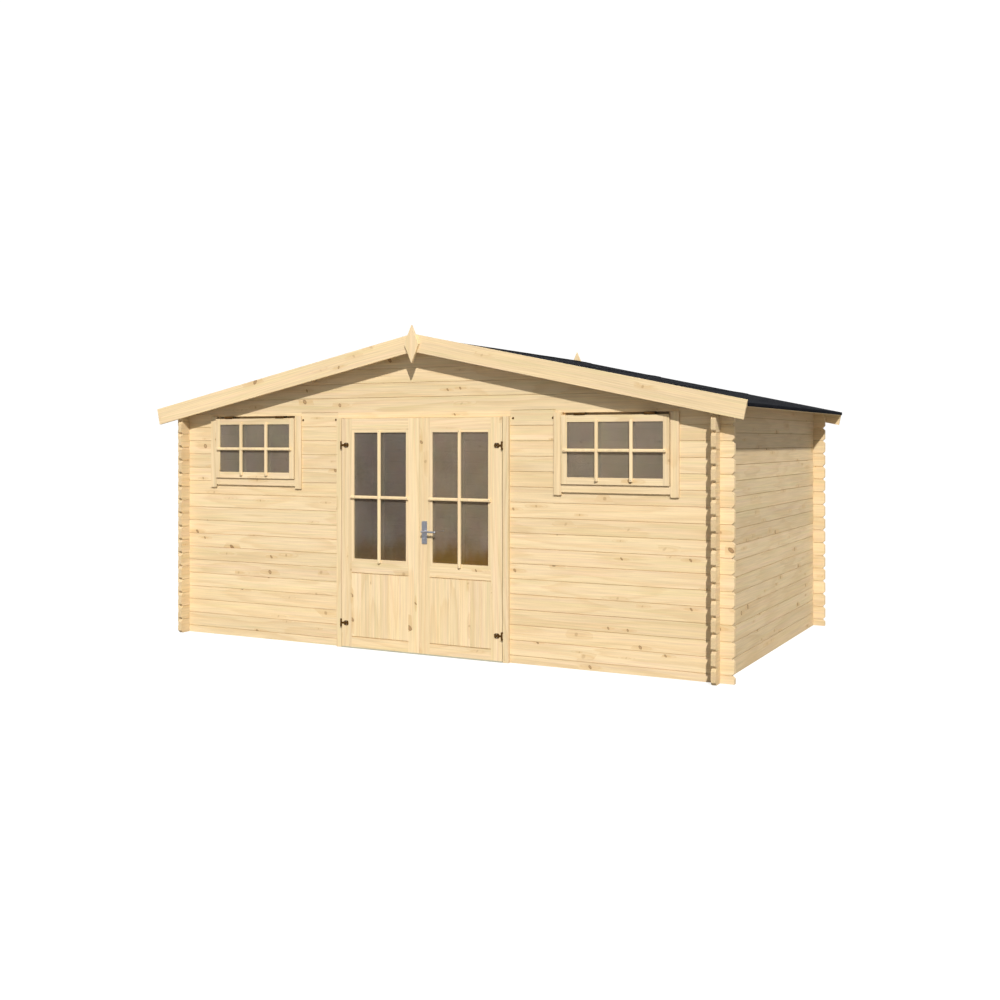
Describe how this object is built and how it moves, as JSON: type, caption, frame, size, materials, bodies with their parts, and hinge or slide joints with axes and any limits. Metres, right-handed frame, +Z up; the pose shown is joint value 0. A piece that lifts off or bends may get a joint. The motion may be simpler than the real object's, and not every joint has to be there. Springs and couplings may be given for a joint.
{
  "type": "log cabin",
  "caption": "Garden log cabin of interlocking cross-jointed logs, with a low felted gable roof, half-glazed double doors and top-hung windows in the front wall",
  "frame": {"origin": "on the ground under the middle of the cabin", "axes": "+X to the right along the front wall, +Y to the back, +Z up"},
  "size_m": [5.249, 3.0812, 2.5427],
  "materials": {
    "log_timber": "planed untreated spruce",
    "trim_timber": "planed untreated spruce",
    "leaf_timber": "planed untreated spruce",
    "roof_timber": "planed boards",
    "floor_timber": "planed boards",
    "felt": "matt mineral felt",
    "glass": "clear pane",
    "hinge_iron": "dark bronzed steel",
    "handle_steel": "satin",
    "threshold_metal": "mill finish"
  },
  "bodies": {
    "cabin": {"front_left_lower_logs": "log_timber", "front_right_lower_logs": "log_timber", "front_left_corner_logs": "log_timber", "front_right_corner_logs": "log_timber", "front_left_pier_logs": "log_timber", "front_right_pier_logs": "log_timber", "front_lintel_log": "log_timber", "front_gable_logs": "log_timber", "back_wall_logs": "log_timber", "back_gable_logs": "log_timber", "left_wall_logs": "log_timber", "right_wall_logs": "log_timber", "purlins": "roof_timber", "left_roof_boards": "roof_timber", "right_roof_boards": "roof_timber", "left_roof_felt": "felt", "right_roof_felt": "felt", "barge_boards": "trim_timber", "finials": "trim_timber", "door_frame": "trim_timber", "door_threshold": "threshold_metal", "left_window_frame": "trim_timber", "right_window_frame": "trim_timber", "left_window_sash": "trim_timber", "right_window_sash": "trim_timber", "left_window_glass": "glass", "right_window_glass": "glass", "window_hinges": "hinge_iron", "floor_boards": "floor_timber", "floor_bearers": "floor_timber", "door_hinge_pins": "hinge_iron"},
    "left_door": {"left_door_stiles": "leaf_timber", "left_door_rails": "leaf_timber", "left_door_panel": "leaf_timber", "left_door_beads": "leaf_timber", "left_door_glass": "glass", "left_door_straps": "hinge_iron"},
    "right_door": {"right_door_stiles": "leaf_timber", "right_door_rails": "leaf_timber", "right_door_panel": "leaf_timber", "right_door_beads": "leaf_timber", "right_door_glass": "glass", "right_door_straps": "hinge_iron", "handle_plates": "handle_steel"},
    "lever": {"door_lever": "handle_steel"}
  },
  "joints": [
    {"name": "left_door_hinge", "type": "hinge", "parent": "cabin", "child": "left_door", "pos_m": [-0.731, -1.437, 0.9], "axis": [0, 0, -1], "range_deg": [0, 110]},
    {"name": "right_door_hinge", "type": "hinge", "parent": "cabin", "child": "right_door", "pos_m": [0.731, -1.437, 0.9], "axis": [0, 0, 1], "range_deg": [0, 110]},
    {"name": "lever_turn", "type": "hinge", "parent": "right_door", "child": "lever", "pos_m": [0.052, -1.4343, 0.955], "axis": [0, 1, 0], "range_deg": [0, 45], "stiffness_Nm_per_rad": 1, "springref_deg": -25.78}
  ]
}
